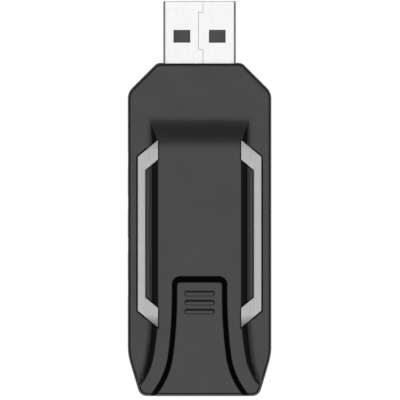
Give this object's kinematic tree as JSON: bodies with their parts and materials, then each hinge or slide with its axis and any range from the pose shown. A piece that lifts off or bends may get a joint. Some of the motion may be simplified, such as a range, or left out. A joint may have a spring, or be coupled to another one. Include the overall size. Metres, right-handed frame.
{
  "type": "wireless controller dongle",
  "caption": "Stick-shaped wireless controller dongle: a fixed plug, a raised flared spine between two bracket light pipes, and a tilting pairing button.",
  "frame": {"origin": "middle of the bottom of the whole part, plug included, lying on its rear face", "axes": "+Z out of the face with the spine and the button, +Y towards the plug's tip, +X across the width"},
  "size_m": [0.0238, 0.0652, 0.0114],
  "materials": {
    "cover_plastic": "fine satin",
    "light_pipe": "milky, satin",
    "plug_steel": "bright nickel",
    "insulator_plastic": "moulded",
    "contact_gold": "gold plated",
    "board_laminate": "solder mask",
    "chip_plastic": "moulded",
    "can_steel": "tin plated",
    "part_ceramic": "fired",
    "lamp_resin": "cast",
    "switch_plastic": "moulded"
  },
  "bodies": {
    "housing": {"front_cover": "cover_plastic", "rear_cover": "cover_plastic", "left_light_pipe": "light_pipe", "right_light_pipe": "light_pipe", "plug_shell": "plug_steel", "plug_insulator": "insulator_plastic", "plug_contact_1": "contact_gold", "plug_contact_2": "contact_gold", "plug_contact_3": "contact_gold", "plug_contact_4": "contact_gold", "circuit_board": "board_laminate", "switch_base": "switch_plastic", "switch_cover": "can_steel", "switch_dome": "can_steel", "switch_terminals": "can_steel", "left_front_lamp": "lamp_resin", "right_front_lamp": "lamp_resin", "left_rear_lamp": "lamp_resin", "right_rear_lamp": "lamp_resin", "controller_chip": "chip_plastic", "memory_chip": "chip_plastic", "clock_crystal": "can_steel", "voltage_regulator": "chip_plastic", "power_inductor": "chip_plastic", "radio_chip": "chip_plastic", "radio_shield": "can_steel", "chip_antenna": "part_ceramic", "capacitors": "part_ceramic", "resistors": "chip_plastic"},
    "button": {"pairing_button": "cover_plastic"},
    "plunger": {"switch_plunger": "switch_plastic"}
  },
  "joints": [
    {"name": "button_tilt", "type": "hinge", "parent": "housing", "child": "button", "pos_m": [0, -0.03, 0.00895], "axis": [-1, 0, 0], "range_deg": [0, 1.1], "stiffness_Nm_per_rad": 0.02, "springref_deg": -0.57},
    {"name": "plunger_travel", "type": "slide", "parent": "housing", "child": "plunger", "axis": [0, 0, 1], "range_m": [-0.00025, 0]}
  ],
  "couplings": [
    {"joint": "plunger_travel", "follows": "button_tilt", "m_per_rad": -0.01282}
  ]
}
